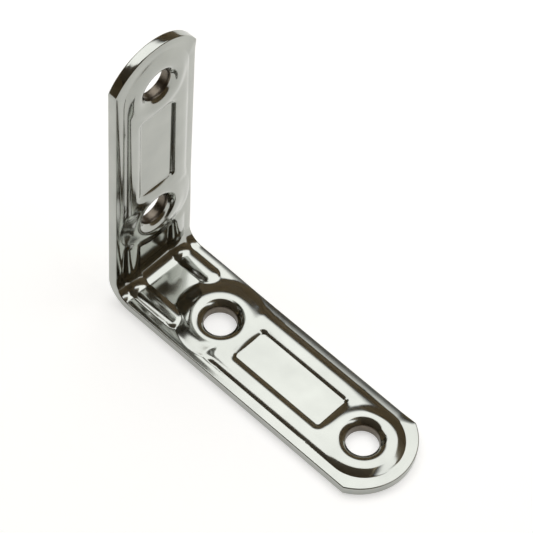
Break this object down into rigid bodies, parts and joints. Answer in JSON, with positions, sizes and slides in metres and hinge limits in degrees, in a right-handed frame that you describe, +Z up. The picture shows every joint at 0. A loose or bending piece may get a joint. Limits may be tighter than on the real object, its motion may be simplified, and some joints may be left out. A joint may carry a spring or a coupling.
{
  "type": "corner plate",
  "caption": "One-piece right-angle corner plate of plated sheet steel with round tips, side beads and raised rings round countersunk screw holes, for bracing timber joints.",
  "frame": {"origin": "middle of the lying leg's length on its back face, half-way across the width", "axes": "+Z up along the standing leg, +X along the lying leg towards its tip, Y across the width"},
  "size_m": [0.05, 0.0148, 0.05],
  "materials": {
    "plated_steel": "bright nickel plating over rolled and pressed sheet steel"
  },
  "bodies": {
    "root": {"corner_plate": "plated_steel"}
  },
  "joints": []
}
